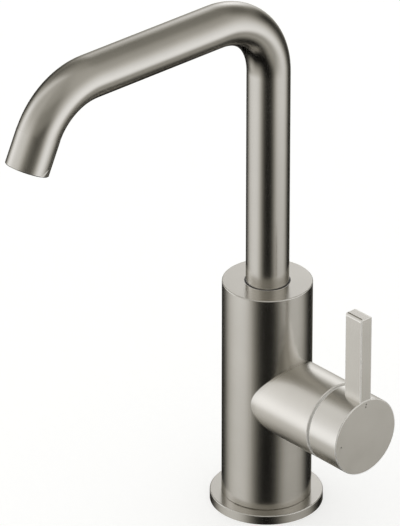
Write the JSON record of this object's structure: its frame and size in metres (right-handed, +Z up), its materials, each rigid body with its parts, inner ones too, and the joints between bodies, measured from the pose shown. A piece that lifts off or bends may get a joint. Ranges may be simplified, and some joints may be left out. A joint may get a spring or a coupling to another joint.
{
  "type": "basin mixer tap",
  "caption": "Tall basin mixer tap with a bent swivel spout and a side handle that tips to open the water and turns to mix it.",
  "frame": {"origin": "centre of the base flange's underside, on the deck", "axes": "+Z up along the body; the spout reaches along -Y, towards the user; the handle's axis runs along +X"},
  "size_m": [0.102, 0.1965, 0.2906],
  "materials": {
    "satin_metal": "brushed",
    "satin_handle": "fine satin",
    "brass": "machined",
    "steel": "machined",
    "white_ceramic": "lapped",
    "grey_ceramic": "lapped",
    "white_plastic": "moulded",
    "dark_plastic": "moulded",
    "red_plastic": "moulded",
    "rubber": "matt"
  },
  "bodies": {
    "tap": {"body": "satin_metal", "base_flange": "satin_metal", "deck_gasket": "rubber", "base_insert": "brass", "insert_screws": "steel", "inlet_seals": "rubber", "cartridge_base": "white_plastic", "cartridge_seals": "rubber", "fixed_disc": "white_ceramic", "cartridge_housing": "dark_plastic", "hot_limit_ring": "red_plastic", "ring_nut": "brass", "dome_cover": "satin_metal", "spout_guide_ring": "dark_plastic", "spout_slide_washer": "white_plastic", "spout_stop_screw": "steel"},
    "spout": {"spout_tube": "satin_metal", "spout_spigot": "brass", "spout_o_rings": "rubber", "aerator_housing": "dark_plastic", "aerator_insert": "white_plastic", "aerator_filter": "dark_plastic", "aerator_seal": "rubber"},
    "mixing": {"rotor": "white_plastic", "pivot_pin": "steel"},
    "disc": {"sliding_disc": "grey_ceramic", "disc_carrier": "dark_plastic"},
    "lever": {"handle": "satin_handle", "stem": "brass", "handle_screw": "steel", "screw_plug": "satin_handle"}
  },
  "joints": [
    {"name": "spout_swivel", "type": "hinge", "parent": "tap", "child": "spout", "pos_m": [0, 0, 0.11], "axis": [0, 0, 1], "range_deg": [-60, 60]},
    {"name": "handle_turn", "type": "hinge", "parent": "tap", "child": "mixing", "pos_m": [0.038, 0, 0.066], "axis": [1, 0, 0], "range_deg": [0, 90]},
    {"name": "lever_tilt", "type": "hinge", "parent": "mixing", "child": "lever", "pos_m": [0.038, 0, 0.066], "axis": [0, 1, 0], "range_deg": [0, 20]},
    {"name": "disc_slide", "type": "slide", "parent": "mixing", "child": "disc", "axis": [0, 0, 1], "range_m": [0, 0.00385]}
  ],
  "couplings": [
    {"joint": "disc_slide", "follows": "lever_tilt", "m_per_rad": 0.011}
  ]
}
